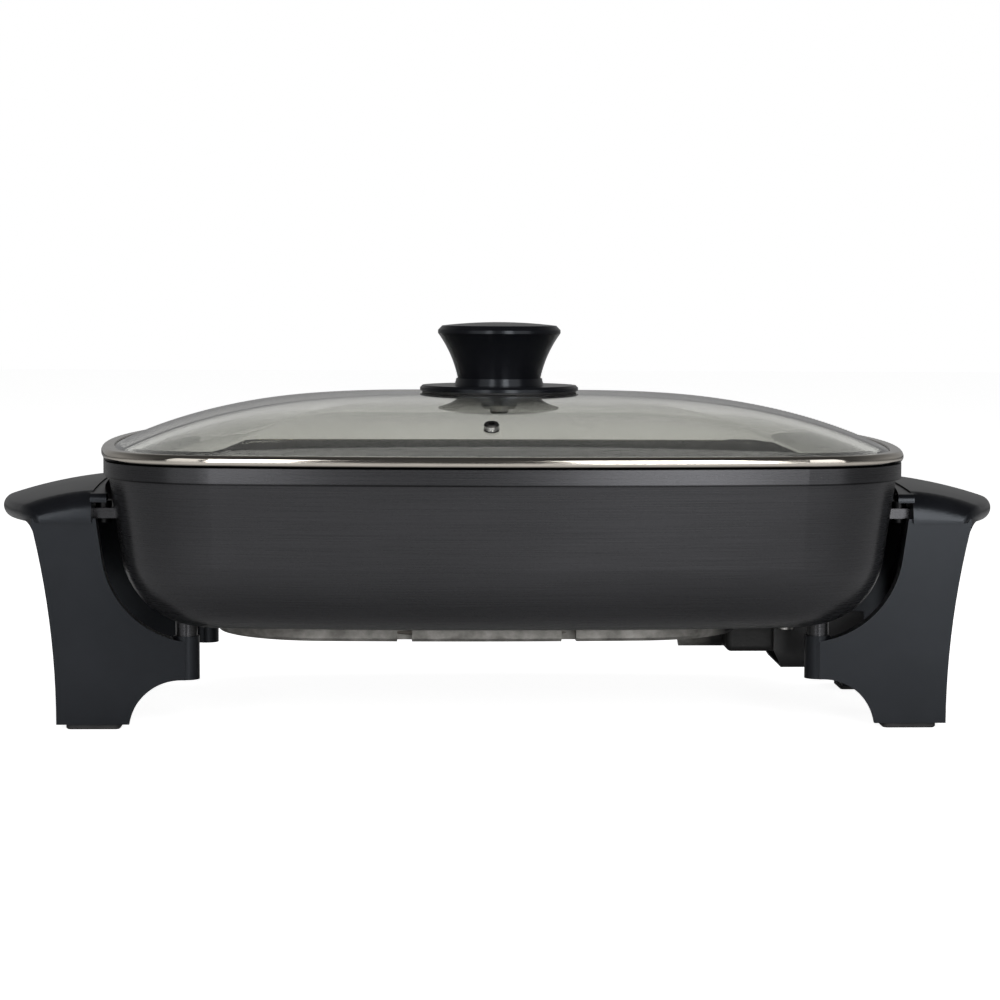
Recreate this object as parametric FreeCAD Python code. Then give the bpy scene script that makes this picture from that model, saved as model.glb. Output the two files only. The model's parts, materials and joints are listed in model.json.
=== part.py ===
import FreeCAD, Part
import math
import os

# Electric skillet with a lift-off glass lid.
# Millimetres. The origin is on the table under the middle of the pan, +X towards the
# socket end, -Y towards the front, +Z up.

# Pan
rim_height = 134.0
pan_half_length = 203.0
pan_half_depth = 152.0
long_side_bow = 20.0
short_side_bow = 23.0
corner_radius = 63.0
pan_depth = 80.7
pan_wall = 3.2
wall_lean = 8.2
rim_band_height = 7.6
rim_band_proud = 2.5
bottom_curve = 38.0
post_radius = 5.5
lug_thickness = 5.0
lug_length = 13.0
lug_drop = 24.5
lug_margin = 0.5

# Heater casting under the pan
heater_end_margin = 69.0
heater_side_margin = 54.0
heater_offset = -12.0
heater_corner = 58.0
heater_side_bow = 8.0
ridge_width = 24.0
ridge_height = 7.0
ridge_edge = 1.6
notch_width = 7.2
notch_height = 5.8
notch_depth = 10.0
notch_places = (-49.4, 31.0)
element_radius = 2.5
element_clearance = 0.3
element_bend = 8.0
block_length = 30.0
block_half_width = 27.0
block_height = 21.5
block_reach = 25.0
block_corner = 3.0

# Socket for the plug-in heat control
socket_height = 94.5
pin_radius = 2.5
pin_reach = 26.0
pin_spacing = 31.8
pin_nose = 1.0
pin_root_step = 0.5
pin_clearance = 0.05
insulator_radius = 5.4
insulator_depth = 14.0
insulator_proud = 1.8
insulator_gap = 0.2
sleeve_radius = 5.0
sleeve_bore = 3.4
sleeve_length = 58.0
sleeve_reach = 9.0
sleeve_end_wall = 3.0
sleeve_mouth = 0.8
sleeve_boss_wall = 3.0
shroud_half_width = 32.0
shroud_wall = 1.8
shroud_back = 6.0
shroud_reach = 40.5
shroud_depth = 30.0
shroud_corner = 9.0
shroud_slope = 5.0
shroud_ear = 11.0
shroud_boss_radius = 4.0
shroud_boss_height = 4.0
shroud_screw_grip = 4.5

# Handle and leg mouldings
tip_outset = 53.0
grip_bow_radius = 150.0
grip_half_width = 80.0
grip_pan_step = 0.5
grip_top_drop = 13.4
grip_crown_radius = 1100.0
grip_bottom_drop = 31.0
grip_nose_radius = 5.2
grip_nose_angle = 38.0
grip_end_radius = 13.0
grip_crest_share = 0.2
grip_spare = 1.0
grip_overhang = 1.0
tongue_half_width = 78.0
tongue_step = 0.8
tongue_round = 3.4
grip_pan_gap = 1.6
panel_half_width = 78.0
panel_wall = 3.0
panel_pan_gap = 10.0
panel_flange = 5.0
foot_outset = 18.3
foot_length = 35.8
leg_edge_radius = 425.0
leg_flare_radius = 8.0
leg_root = 1.0
leg_arch_radius = 26.0
leg_arch_rise = 22.0
arch_half_width = 45.0
arch_height = 63.0
arch_corner = 18.0
column_inset = 45.5
column_radius = 6.5
column_step = 0.5
sole_thickness = 4.0
sole_width = 30.0
sole_inset = 5.0

# Rubber feet
pad_length = 27.0
pad_width = 23.0
pad_thickness = 2.7
pad_corner = 3.0
pad_edge = 0.7
pad_margin = 2.0
pad_stem_radius = 3.0
pad_head_radius = 4.6
pad_head_height = 2.2
pad_clearance = 0.1

# Screws and spacers of the handles
lower_screw_radius = 2.5
lower_screw_grip = 6.0
lower_head_radius = 4.4
lower_head_height = 3.0
lower_head_recess = 0.6
head_clearance = 0.4
slot_width = 1.2
slot_depth = 1.1
upper_screw_radius = 2.0
upper_head_radius = 3.8
upper_head_height = 2.4
upper_screw_grip = 3.4
upper_screw_place = 63.0
upper_screw_gap = 3.5
upper_screw_outset = 2.3
tap_spare = 0.4
screw_clearance = 0.05
spacer_radius = 4.0

# Lid
lid_overhang = 1.0
lid_seat_gap = 0.3
lid_rim_height = 5.7
lid_rim_sheet = 0.8
lid_rim_round = 2.6
lid_rim_lap = 5.5
lid_lip_depth = 4.2
lid_lip_clearance = 0.9
glass_thickness = 4.0
glass_clearance = 0.1
glass_lap_gap = 0.3
dome_top = 31.0
dome_power = 3.6
glass_hole = 4.6
vent_x = -8.0
vent_inset = 35.0
vent_bore = 1.6
vent_tube_radius = 2.6
vent_flange_radius = 3.8
vent_flange_height = 0.8
vent_flange_edge = 0.6
vent_gap = 0.15
vent_under_gap = 0.45

# Knob
knob_height = 67.4
knob_cap_radius = 32.0
knob_cap_edge = 5.7
knob_cap_band = 1.6
knob_cap_bevel = 2.2
knob_crown = 1.8
knob_neck_radius = 21.6
knob_neck_height = 38.2
knob_waist_radius = 25.8
knob_waist_share = 0.55
knob_bore_gap = 0.1
flange_radius = 41.3
flange_thickness = 2.8
flange_bevel = 1.2
collar_radius = 22.4
collar_flare = 0.9
gasket_thickness = 0.8
gasket_radius = 40.2
gasket_lap = 1.0
gasket_gap = 0.1
insert_radius = 5.0
insert_length = 12.0
knob_screw_radius = 2.5
knob_screw_reach = 9.0
knob_screw_head_radius = 5.0
knob_screw_head_height = 3.0
knob_screw_head_edge = 1.2
washer_radius = 8.5
washer_thickness = 1.4

# Sizes that follow from the ones above
up = FreeCAD.Vector(0, 0, 1)
along = FreeCAD.Vector(1, 0, 0)
across = FreeCAD.Vector(0, 1, 0)
pan_bottom = rim_height - pan_depth
heater_bottom = pan_bottom - ridge_height
heater_half_length = pan_half_length - heater_end_margin
heater_half_depth = pan_half_depth - heater_side_margin
heater_end = heater_offset + heater_half_length
element_z = (pan_bottom + heater_bottom) / 2
block_end = heater_end + block_reach
socket_z = rim_height - socket_height
lean = math.radians(wall_lean)
long_radius = (pan_half_length ** 2 + long_side_bow ** 2) / (2 * long_side_bow)
short_radius = (pan_half_depth ** 2 + short_side_bow ** 2) / (2 * short_side_bow)
grip_inner = pan_half_length + grip_pan_step
grip_bottom = rim_height - grip_bottom_drop
tip_reach = pan_half_length + tip_outset
foot_outer = pan_half_length + foot_outset
foot_inner = foot_outer - foot_length
lug_top = rim_height - lug_drop
tongue_bottom = lug_top + upper_screw_gap
column_place = pan_half_length - column_inset
column_y = panel_half_width - column_radius - column_step
column_bottom = pad_thickness + leg_arch_rise
lower_screw_seat = column_bottom + lower_head_recess
pad_x = (foot_outer + foot_inner) / 2
pad_y = panel_half_width - pad_margin - pad_width / 2
glass_bottom = rim_height + lid_seat_gap + lid_rim_sheet + glass_clearance
glass_edge = lid_rim_height - 2 * (lid_rim_sheet + glass_clearance)
glass_top = rim_height + dome_top
dome_inset = lid_rim_lap + glass_lap_gap
vent_y = vent_inset - pan_half_depth
washer_top = glass_top - glass_thickness - gasket_thickness - gasket_gap
knob_base_low = glass_top + gasket_thickness
neck_z = rim_height + knob_neck_height


def point(x, y, z):
    return FreeCAD.Vector(x, y, z)


def cylinder(radius, height, base, axis=up):
    return Part.makeCylinder(radius, height, base, axis)


def box(low, high):
    size = high - low
    return Part.makeBox(size.x, size.y, size.z, low)


def fuse_all(shapes):
    shape = shapes[0].fuse(shapes[1:])
    return shape.removeSplitter()


def polygon(points):
    return Part.makePolygon(points + [points[0]])


# A piece turned about an upright axis through the middle, from its half outline
def turned(points):
    face = Part.Face(polygon([point(radius, 0, z) for radius, z in points]))
    return face.revolve(point(0, 0, 0), up, 360)


def mirrored(shape, normal):
    return shape.mirror(point(0, 0, 0), normal)


def arc_edge(centre, radius, start, sweep):
    ends = []
    for share in (0.0, 0.5, 1.0):
        angle = start + share * sweep
        ends.append(centre + point(math.cos(angle), math.sin(angle), 0) * radius)
    return Part.Arc(*ends).toShape()


def side_arc(centre, radius, start, end):
    ends = []
    for angle in (start, (start + end) / 2, end):
        ends.append(centre + point(math.cos(angle), 0, math.sin(angle)) * radius)
    return Part.Arc(*ends).toShape()


# Plan outline of the pan: eight arcs that run into each other. The two long sides and
# the two short sides are bowed, and a corner arc touches its two neighbours.
def plan_arcs(half_length, half_depth, long_r, short_r, corner):
    long_centre = point(0, half_depth - long_r, 0)
    short_centre = point(half_length - short_r, 0, 0)
    far = long_r - corner
    near = short_r - corner
    gap = short_centre - long_centre
    distance = gap.Length
    step = (far ** 2 - near ** 2 + distance ** 2) / (2 * distance)
    side = math.sqrt(far ** 2 - step ** 2)
    ahead = gap / distance
    centre = long_centre + ahead * step + point(ahead.y, -ahead.x, 0) * side
    steep = math.atan2(centre.y - long_centre.y, centre.x - long_centre.x)
    flat = math.atan2(centre.y, centre.x - short_centre.x)
    arcs = []
    for turn in (0.0, math.pi):
        sign = math.cos(turn)
        arcs.append((short_centre * sign, short_r, turn - flat, 2 * flat))
        arcs.append((centre * sign, corner, turn + flat, steep - flat))
        arcs.append((long_centre * sign, long_r, turn + steep, math.pi - 2 * steep))
        other = point(-centre.x, centre.y, 0) * sign
        arcs.append((other, corner, turn + math.pi - steep, steep - flat))
    return arcs


def pan_arcs():
    return plan_arcs(pan_half_length, pan_half_depth, long_radius, short_radius, corner_radius)


# Closed wire of the outline, drawn a distance inside it, at one height and scale
def plan_wire(inset, z, scale=1.0):
    edges = []
    for centre, radius, start, sweep in pan_arcs():
        middle = point(centre.x * scale, centre.y * scale, z)
        edges.append(arc_edge(middle, (radius - inset) * scale, start, sweep))
    return Part.Wire(Part.__sortEdges__(edges))


def plan_prism(inset, low, high):
    return Part.Face(plan_wire(inset, low)).extrude(up * (high - low))


# A ring round the outline: its section is turned about the centre of each arc
def plan_ring(section, arcs):
    sectors = []
    for centre, radius, start, sweep in arcs:
        face = Part.Face(section(radius))
        face.translate(centre)
        face.rotate(centre, up, math.degrees(start))
        sectors.append(face.revolve(centre, up, math.degrees(sweep)))
    return fuse_all(sectors)


def ring_section(points):
    def section(radius):
        return polygon([point(radius - inset, 0, z) for inset, z in points])
    return section


# Distance of the pan's outer wall inside the rim, at a height on its straight part
def wall_inset(z):
    return rim_band_proud + (rim_height - rim_band_height - z) * math.tan(lean)


# Inset and height of the centre of the curve between the pan's wall and its floor
def curve_centre():
    start_z = pan_bottom + bottom_curve * (1 - math.sin(lean))
    return wall_inset(start_z) + bottom_curve * math.cos(lean), pan_bottom + bottom_curve


def rim_inner_inset():
    return wall_inset(rim_height) + pan_wall / math.cos(lean)


# Half length of the pan's rim at a distance from the middle line
def rim_reach(y):
    return pan_half_length - short_radius + math.sqrt(short_radius ** 2 - y ** 2)


def pan_section(radius):
    centre_inset, centre_z = curve_centre()
    centre = point(radius - centre_inset, 0, centre_z)
    band_z = rim_height - rim_band_height
    inner = bottom_curve - pan_wall

    def on_curve(size, angle):
        return centre + point(math.cos(angle), 0, -math.sin(angle)) * size

    corners = [on_curve(inner, lean),
               point(radius - rim_inner_inset(), 0, rim_height),
               point(radius, 0, rim_height),
               point(radius, 0, band_z),
               point(radius - rim_band_proud, 0, band_z),
               on_curve(bottom_curve, lean)]
    edges = [Part.makeLine(first, second) for first, second in zip(corners, corners[1:])]
    for size in (bottom_curve, inner):
        edges.append(side_arc(centre, size, -lean, -math.pi / 2))
    edges.append(Part.makeLine(on_curve(bottom_curve, math.pi / 2), on_curve(inner, math.pi / 2)))
    return Part.Wire(Part.__sortEdges__(edges))


def corner_places(x, y):
    return [(side * x, end * y) for side in (-1, 1) for end in (-1, 1)]


def upper_screw_x():
    return rim_reach(upper_screw_place) - rim_band_proud + upper_screw_outset


# Cast ear on the pan's end wall that carries the handle
def pan_lug(x, y):
    side = math.copysign(1, x)
    inner = side * (rim_reach(y) - wall_inset(lug_top - lug_thickness) - pan_wall / 2)
    outer = x + side * (spacer_radius + lug_margin)
    low = point(min(inner, outer), y - lug_length / 2, lug_top - lug_thickness)
    high = point(max(inner, outer), y + lug_length / 2, lug_top)
    hole = cylinder(upper_screw_radius + screw_clearance, lug_thickness, point(x, y, low.z))
    return box(low, high).cut(hole)


def shroud_screw_places():
    x = block_end - shroud_back + shroud_ear / 2
    y = shroud_half_width + shroud_ear / 2
    return [(x, -y), (x, y)]


def make_pan():
    wall = plan_ring(pan_section, pan_arcs())
    pieces = [wall, plan_prism(curve_centre()[0], pan_bottom, pan_bottom + pan_wall)]
    root = pan_bottom + pan_wall / 2
    for x, y in corner_places(column_place, column_y):
        pieces.append(cylinder(post_radius, root - heater_bottom, point(x, y, heater_bottom)))
    for x, y in corner_places(upper_screw_x(), upper_screw_place):
        pieces.append(pan_lug(x, y))
    boss_low = pan_bottom - shroud_boss_height
    for x, y in shroud_screw_places():
        pieces.append(cylinder(shroud_boss_radius, root - boss_low, point(x, y, boss_low)))
    body = fuse_all(pieces)
    for x, y in corner_places(column_place, column_y):
        tap = lower_screw_radius + screw_clearance
        body = body.cut(cylinder(tap, ridge_height, point(x, y, heater_bottom)))
    for x, y in shroud_screw_places():
        tap = upper_screw_radius + screw_clearance
        body = body.cut(cylinder(tap, shroud_screw_grip + tap_spare, point(x, y, boss_low)))
    return body


def heater_arcs():
    length, depth = heater_half_length, heater_half_depth
    long_r = (length ** 2 + heater_side_bow ** 2) / (2 * heater_side_bow)
    short_r = (depth ** 2 + heater_side_bow ** 2) / (2 * heater_side_bow)
    arcs = plan_arcs(length, depth, long_r, short_r, heater_corner)
    return [(centre + along * heater_offset, radius, start, sweep)
            for centre, radius, start, sweep in arcs]


# One end of the heating tube: it leaves the loop, runs to the socket and steps down to it
def element_lead(side):
    centre, radius, start, sweep = heater_arcs()[0]
    lift = up * element_z
    reach = radius - ridge_width / 2
    pin_y = pin_spacing / 2
    bend_y = pin_y + element_bend
    bend_x = centre.x + math.sqrt((reach + element_bend) ** 2 - bend_y ** 2)
    leave = math.atan2(bend_y, bend_x - centre.x)
    first = arc_edge(centre + lift, reach, start + sweep, leave - start - sweep)
    turn = arc_edge(point(bend_x, bend_y, element_z), element_bend, leave - math.pi,
                    math.pi / 2 - leave)
    run = block_end - insulator_depth - bend_x
    drop = element_z - socket_z
    size = (run ** 2 + drop ** 2) / (4 * drop)
    angle = math.asin(run / (2 * size))
    upper = side_arc(point(bend_x, pin_y, element_z - size), size, math.pi / 2, math.pi / 2 - angle)
    lower = side_arc(point(bend_x + run, pin_y, socket_z + size), size, -math.pi / 2 - angle,
                     -math.pi / 2)
    edges = [first, turn, upper, lower]
    if side < 0:
        edges = [mirrored(edge, across) for edge in edges]
    return edges


# A tube along one arc: a disc across it is turned about the arc's own axis
def tube_along(edge, radius):
    circle = edge.Curve
    first, last = edge.ParameterRange
    disc = Part.Face(Part.Wire(Part.makeCircle(radius, edge.valueAt(first), edge.tangentAt(first))))
    return disc.revolve(circle.Center, circle.Axis, math.degrees(last - first))


def element_tube(radius):
    edges = element_lead(1) + element_lead(-1)
    for centre, reach, start, sweep in heater_arcs()[1:]:
        edges.append(arc_edge(centre + up * element_z, reach - ridge_width / 2, start, sweep))
    return fuse_all([tube_along(edge, radius) for edge in edges])


def rounded_block():
    low = point(block_end - block_length, -block_half_width, pan_bottom - block_height)
    shape = box(low, point(block_end, block_half_width, pan_bottom))
    edges = []
    for edge in shape.Edges:
        bounds = edge.BoundBox
        if bounds.ZMax < pan_bottom - block_height / 2 or bounds.ZLength > block_height / 2:
            edges.append(edge)
    return shape.makeFillet(block_corner, edges)


# Boss of the casting round the inner end of the sensor's sleeve
def sleeve_boss():
    radius = sleeve_radius + sleeve_boss_wall
    start = block_end + sleeve_reach - sleeve_length - sleeve_boss_wall
    length = block_end - block_length / 2 - start
    round_part = cylinder(radius, length, point(start, 0, socket_z), along)
    web = box(point(start, -radius, socket_z), point(start + length, radius, pan_bottom))
    return [round_part, web]


def make_heater_base():
    low = heater_bottom
    width = ridge_width
    section = ring_section([(0, pan_bottom), (0, low + ridge_edge), (ridge_edge, low),
                            (width - ridge_edge, low), (width, low + ridge_edge),
                            (width, pan_bottom)])
    body = fuse_all([plan_ring(section, heater_arcs()), rounded_block()] + sleeve_boss())
    for x in notch_places:
        notch = box(point(x - notch_width / 2, -heater_half_depth, low),
                    point(x + notch_width / 2, notch_depth - heater_half_depth, low + notch_height))
        body = body.cut(notch).cut(mirrored(notch, across))
    body = body.cut(element_tube(element_radius + element_clearance))
    for side in (-1, 1):
        seat = point(block_end - insulator_depth, side * pin_spacing / 2, socket_z)
        body = body.cut(cylinder(insulator_radius + pin_clearance, insulator_depth, seat, along))
    start = point(block_end + sleeve_reach - sleeve_length, 0, socket_z)
    return body.cut(cylinder(sleeve_radius + pin_clearance, sleeve_length, start, along))


# Contact pin: a thicker root inside its insulator, then the free end that the plug slides on
def make_pin(side):
    start = point(block_end - insulator_depth, side * pin_spacing / 2, socket_z)
    root = cylinder(pin_radius + pin_root_step, insulator_depth + insulator_proud, start, along)
    length = insulator_depth + pin_reach - pin_nose
    shank = cylinder(pin_radius, length, start, along)
    tip = Part.makeCone(pin_radius, pin_radius - pin_nose, pin_nose, start + along * length, along)
    return fuse_all([root, shank, tip])


def make_insulator(side):
    start = point(block_end - insulator_depth + insulator_gap, side * pin_spacing / 2, socket_z)
    length = insulator_depth - insulator_gap + insulator_proud
    body = cylinder(insulator_radius, length, start, along)
    return body.cut(cylinder(pin_radius + pin_root_step + pin_clearance, length, start, along))


def make_sensor_sleeve():
    start = point(block_end + sleeve_reach - sleeve_length, 0, socket_z)
    body = cylinder(sleeve_radius, sleeve_length, start, along)
    bore = cylinder(sleeve_bore, sleeve_length - sleeve_end_wall, start + along * sleeve_end_wall, along)
    mouth = Part.makeCone(sleeve_bore, sleeve_bore + sleeve_mouth, sleeve_mouth,
                          start + along * (sleeve_length - sleeve_mouth), along)
    return body.cut(bore).cut(mouth)


# Outline of the hood round the pins, open towards the end of the skillet
def shroud_profile(inset):
    half = shroud_half_width - inset
    corner = shroud_corner - inset
    bottom = pan_bottom - shroud_depth + inset
    slant = corner * (1 - math.sqrt(0.5))
    edges = []
    for side in (-1, 1):
        foot = point(0, side * half, bottom + corner)
        bend = point(0, side * (half - slant), bottom + slant)
        flat = point(0, side * (half - corner), bottom)
        edges.append(Part.makeLine(point(0, side * half, pan_bottom), foot))
        edges.append(Part.Arc(foot, bend, flat).toShape())
    for y, z in ((half, pan_bottom), (half - corner, bottom)):
        edges.append(Part.makeLine(point(0, -y, z), point(0, y, z)))
    return Part.Face(Part.Wire(Part.__sortEdges__(edges)))


def make_shroud():
    start = block_end - shroud_back
    bottom = pan_bottom - shroud_depth
    run = along * (shroud_back + shroud_reach)
    hood = shroud_profile(0).extrude(run).cut(shroud_profile(shroud_wall).extrude(run))
    hood.translate(along * start)
    wedge = Part.Face(polygon([point(start, -shroud_half_width, bottom),
                               point(start + shroud_slope, -shroud_half_width, bottom),
                               point(start, -shroud_half_width, bottom + 2 * shroud_slope)]))
    pieces = [hood.cut(wedge.extrude(across * (2 * shroud_half_width)))]
    ear_top = pan_bottom - shroud_boss_height
    half = shroud_ear / 2
    for x, y in shroud_screw_places():
        inward = math.copysign(shroud_wall / 2, y)
        pieces.append(box(point(x - half, min(y - half, y - half - inward), ear_top - shroud_wall),
                          point(x + half, max(y + half, y + half - inward), ear_top)))
    body = fuse_all(pieces)
    for x, y in shroud_screw_places():
        hole = cylinder(upper_screw_radius + screw_clearance, shroud_wall,
                        point(x, y, ear_top - shroud_wall))
        body = body.cut(hole)
    return body


def make_shroud_screws():
    screws = []
    for x, y in shroud_screw_places():
        seat = point(x, y, pan_bottom - shroud_boss_height - shroud_wall)
        shank = cylinder(upper_screw_radius, shroud_wall + shroud_screw_grip, seat)
        head = cylinder(upper_head_radius, upper_head_height, seat - up * upper_head_height)
        screws.append(shank.fuse(head))
    return Part.makeCompound(screws)


# Grip section at a place across the handle: it falls away and draws in to both ends. Its
# lower and inner sides lie past the grip's flat faces, which are cut afterwards.
def grip_section(y, pinch):
    drop = grip_crown_radius - math.sqrt(grip_crown_radius ** 2 - y ** 2)
    bow = grip_bow_radius - math.sqrt(grip_bow_radius ** 2 - y ** 2)
    tip = tip_reach - bow - pinch / 3
    top = rim_height - grip_top_drop - drop - pinch
    nose = grip_nose_radius * (1 - pinch / (grip_end_radius + grip_nose_radius / 3))
    slope = math.radians(grip_nose_angle)
    centre = point(tip - nose, y, grip_bottom + nose - grip_spare * nose / grip_nose_radius)
    high = point(grip_inner - grip_spare, y, top)
    nose_top = centre + point(math.sin(slope), 0, math.cos(slope)) * nose
    nose_low = centre - up * nose
    low = point(high.x, y, nose_low.z)
    crest = (high + nose_top) * 0.5 + up * (high.z - nose_top.z) * grip_crest_share
    edges = [Part.makeLine(low, high),
             Part.Arc(high, crest, nose_top).toShape(),
             Part.Arc(nose_top, centre + along * nose, nose_low).toShape(),
             Part.makeLine(nose_low, low)]
    return Part.Wire(edges)


def make_grip():
    full = grip_half_width - grip_end_radius
    middle = [grip_section(full * share, 0) for share in (-1.0, -0.75, -0.4, 0.0, 0.4, 0.75, 1.0)]
    end = []
    for angle in (0, 22.5, 45, 67.5, 90):
        turn = math.radians(angle)
        y = full + grip_end_radius * math.sin(turn)
        end.append(grip_section(y, grip_end_radius * (1 - math.cos(turn))))
    end = Part.makeLoft(end, True, False)
    body = fuse_all([Part.makeLoft(middle, True, False), end, mirrored(end, across)])
    return body.common(box(point(grip_inner, -pan_half_depth, grip_bottom),
                           point(tip_reach + grip_spare, pan_half_depth, rim_height)))


# Outer edge of the leg, drawn a depth inside it: one long arc from the foot upwards,
# then a short hollow that runs out into the grip
def leg_edge(depth):
    long_centre = point(foot_outer + leg_edge_radius, 0, pad_thickness)
    rise = grip_bottom + leg_root - leg_flare_radius - pad_thickness
    angle = math.asin(rise / (leg_edge_radius - leg_flare_radius))
    away = point(-math.cos(angle), 0, math.sin(angle))
    short_centre = long_centre + away * (leg_edge_radius - leg_flare_radius)
    long_part = side_arc(long_centre, leg_edge_radius + depth, math.pi, math.pi - angle)
    short_part = side_arc(short_centre, leg_flare_radius + depth, math.pi - angle, math.pi / 2)
    low = point(foot_outer - depth, 0, pad_thickness)
    high = short_centre + up * (leg_flare_radius + depth)
    return [long_part, short_part], low, high


def make_end_wall():
    outer, outer_low, outer_high = leg_edge(0)
    inner, inner_low, inner_high = leg_edge(panel_wall)
    edges = outer + inner + [Part.makeLine(outer_high, inner_high), Part.makeLine(inner_low, outer_low)]
    wall = Part.Face(Part.Wire(Part.__sortEdges__(edges))).extrude(across * (2 * panel_half_width))
    wall.translate(across * -panel_half_width)
    gate = box(point(foot_inner, -arch_half_width, 0), point(tip_reach, arch_half_width, arch_height))
    tops = [edge for edge in gate.Edges
            if edge.BoundBox.ZMin > arch_height / 2 and edge.BoundBox.YLength < arch_half_width]
    return wall.cut(gate.makeFillet(arch_corner, tops))


# Inner edge of the leg's side panel: it follows the pan's wall and lower curve at a set gap
def panel_curve(extra):
    centre_inset, centre_z = curve_centre()
    centre = point(rim_reach(panel_half_width) - centre_inset, 0, centre_z)
    size = bottom_curve + panel_pan_gap + extra
    end = math.acos((column_place - centre.x) / size)
    bend, low = [centre + point(math.cos(angle), 0, -math.sin(angle)) * size for angle in (lean, end)]
    top = grip_bottom + 2 * leg_root
    high = point(bend.x + (top - bend.z) * math.tan(lean), 0, top)
    return [Part.makeLine(high, bend), side_arc(centre, size, -lean, -end)], high, low


def panel_face():
    inner, inner_high, inner_low = panel_curve(0)
    outer, outer_low, outer_high = leg_edge(0)
    arch_z = column_bottom - leg_arch_radius
    arch_start = math.asin((pad_thickness - arch_z) / leg_arch_radius)
    arch_x = foot_inner - leg_arch_radius * math.cos(arch_start)
    corners = [outer_high, point(outer_high.x, 0, inner_high.z), inner_high]
    edges = [Part.makeLine(first, second) for first, second in zip(corners, corners[1:])]
    corners = [inner_low, point(inner_low.x, 0, column_bottom), point(arch_x, 0, column_bottom)]
    edges += [Part.makeLine(first, second) for first, second in zip(corners, corners[1:])]
    edges += [side_arc(point(arch_x, 0, arch_z), leg_arch_radius, arch_start, math.pi / 2),
              Part.makeLine(point(foot_inner, 0, pad_thickness), outer_low)]
    return Part.Face(Part.Wire(Part.__sortEdges__(edges + inner + outer)))


def flange_face():
    edges, high, low = panel_curve(0)
    deep_edges, deep_high, deep_low = panel_curve(panel_wall)
    ends = [Part.makeLine(low, deep_low), Part.makeLine(deep_high, high)]
    return Part.Face(Part.Wire(Part.__sortEdges__(edges + deep_edges + ends)))


# Side panel of one leg with its inner flange, sole and screw column
def make_panel():
    inner = panel_half_width - panel_wall
    panel = panel_face().extrude(across * panel_wall)
    panel.translate(across * inner)
    flange = flange_face().extrude(across * (panel_flange + panel_wall))
    flange.translate(across * (inner - panel_flange))
    sole = box(point(foot_inner + sole_inset, panel_half_width - sole_width, pad_thickness),
               point(foot_outer - panel_wall / 2, inner + panel_wall / 2, pad_thickness + sole_thickness))
    column = cylinder(column_radius, heater_bottom - column_bottom,
                      point(column_place, column_y, column_bottom))
    return fuse_all([panel, flange, sole, column])


# Tongue of the grip that reaches in over the pan's ears, a small step below its crown and
# with rounded ends
def make_tongue():
    start = pan_half_length - short_side_bow
    top = rim_height - grip_top_drop - tongue_step
    drop = grip_crown_radius - math.sqrt(grip_crown_radius ** 2 - tongue_half_width ** 2)
    ends = [point(start, side * tongue_half_width, top - drop) for side in (-1, 1)]
    feet = [point(start, side * tongue_half_width, tongue_bottom) for side in (-1, 1)]
    edges = [Part.Arc(ends[0], point(start, 0, top), ends[1]).toShape()]
    edges += [Part.makeLine(*pair) for pair in ((ends[1], feet[1]), (feet[1], feet[0]), (feet[0], ends[0]))]
    body = Part.Face(Part.Wire(edges)).extrude(along * (grip_inner + tongue_step - start))
    crests = [edge for edge in body.Edges
              if edge.BoundBox.YLength < tongue_step and edge.BoundBox.ZMin > tongue_bottom + tongue_step
              and edge.BoundBox.XLength > tongue_step]
    body = body.makeFillet(tongue_round, crests)
    return body.cut(plan_prism(rim_band_proud - grip_pan_gap, heater_bottom, rim_height))


def make_handle():
    panel = make_panel()
    core = fuse_all([panel, mirrored(panel, across), make_end_wall()])
    bow_centre = point(tip_reach - grip_bow_radius, 0, 0)
    core = core.common(cylinder(grip_bow_radius - grip_overhang, rim_height, bow_centre))
    handle = fuse_all([core, make_grip(), make_tongue()])
    for side in (-1, 1):
        y = side * column_y
        bore = cylinder(lower_screw_radius + head_clearance, heater_bottom, point(column_place, y, 0))
        seat = cylinder(lower_head_radius + head_clearance, lower_head_height + lower_head_recess,
                        point(column_place, y, column_bottom))
        tap_place = point(upper_screw_x(), side * upper_screw_place, tongue_bottom)
        tap = cylinder(upper_screw_radius + screw_clearance, upper_screw_grip + tap_spare, tap_place)
        stem = cylinder(pad_stem_radius + pad_clearance, sole_thickness,
                        point(pad_x, side * pad_y, pad_thickness))
        handle = handle.cut([bore, seat, tap, stem])
    return handle


def make_foot(x, y):
    low = point(x - pad_length / 2, y - pad_width / 2, 0)
    pad = box(low, low + point(pad_length, pad_width, pad_thickness))
    upright = [edge for edge in pad.Edges if edge.BoundBox.ZLength > pad_thickness / 2]
    pad = pad.makeFillet(pad_corner, upright)
    rims = [edge for edge in pad.Edges if edge.BoundBox.ZMax < pad_thickness / 2]
    pad = pad.makeChamfer(pad_edge, rims)
    stem_top = pad_thickness + sole_thickness + pad_clearance
    stem = cylinder(pad_stem_radius, stem_top, point(x, y, 0))
    head = Part.makeCone(pad_head_radius, pad_stem_radius, pad_head_height, point(x, y, stem_top))
    return fuse_all([pad, stem, head])


def make_lower_screws(end):
    screws = []
    for side in (-1, 1):
        place = point(end * column_place, side * column_y, lower_screw_seat)
        head = cylinder(lower_head_radius, lower_head_height, place)
        shank = cylinder(lower_screw_radius, heater_bottom + lower_screw_grip - lower_screw_seat, place)
        half = point(lower_head_radius, slot_width / 2, 0)
        slot = box(place - half, place + half + up * slot_depth)
        screws.append(head.fuse(shank).removeSplitter().cut(slot))
    return Part.makeCompound(screws)


def make_upper_screws(end):
    screws = []
    for side in (-1, 1):
        place = point(end * upper_screw_x(), side * upper_screw_place, lug_top - lug_thickness)
        head = cylinder(upper_head_radius, upper_head_height, place - up * upper_head_height)
        shank = cylinder(upper_screw_radius, lug_thickness + upper_screw_gap + upper_screw_grip, place)
        screws.append(head.fuse(shank))
    return Part.makeCompound(screws)


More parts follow.
